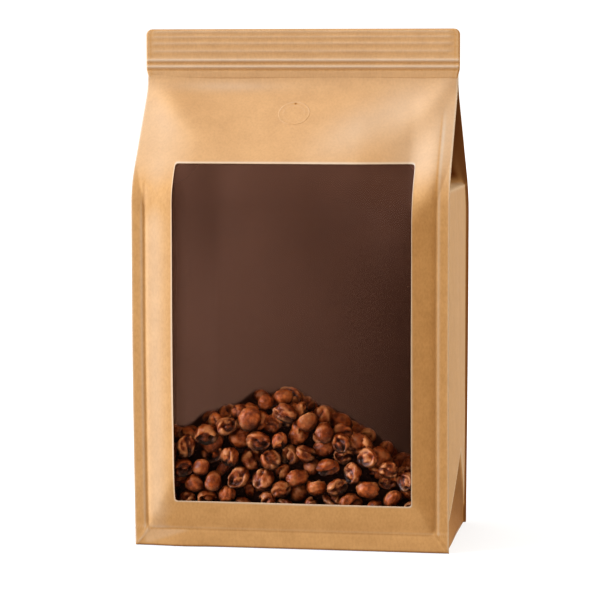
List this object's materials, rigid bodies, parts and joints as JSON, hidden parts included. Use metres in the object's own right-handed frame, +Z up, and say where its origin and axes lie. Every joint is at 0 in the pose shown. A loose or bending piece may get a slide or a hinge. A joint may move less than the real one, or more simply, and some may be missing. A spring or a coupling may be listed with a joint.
{
  "type": "coffee bag",
  "caption": "Flat-bottomed kraft paper coffee bag with gusseted sides, a pressed ribbed top seal, a clear front window and a heap of roasted beans behind it.",
  "frame": {"origin": "middle of the flat base, on the surface it stands on", "axes": "+Z up, towards the pressed top; -Y out of the window, so the front faces -Y; +X to the right seen from the front"},
  "size_m": [0.1366, 0.0959, 0.22],
  "materials": {
    "kraft_paper": "matte",
    "clear_film": "gloss",
    "valve_paper": "matte",
    "roasted_beans": "satin"
  },
  "bodies": {
    "root": {"bag": "kraft_paper", "window_film": "clear_film", "degassing_valve": "valve_paper", "bean_heap": "roasted_beans"}
  },
  "joints": []
}
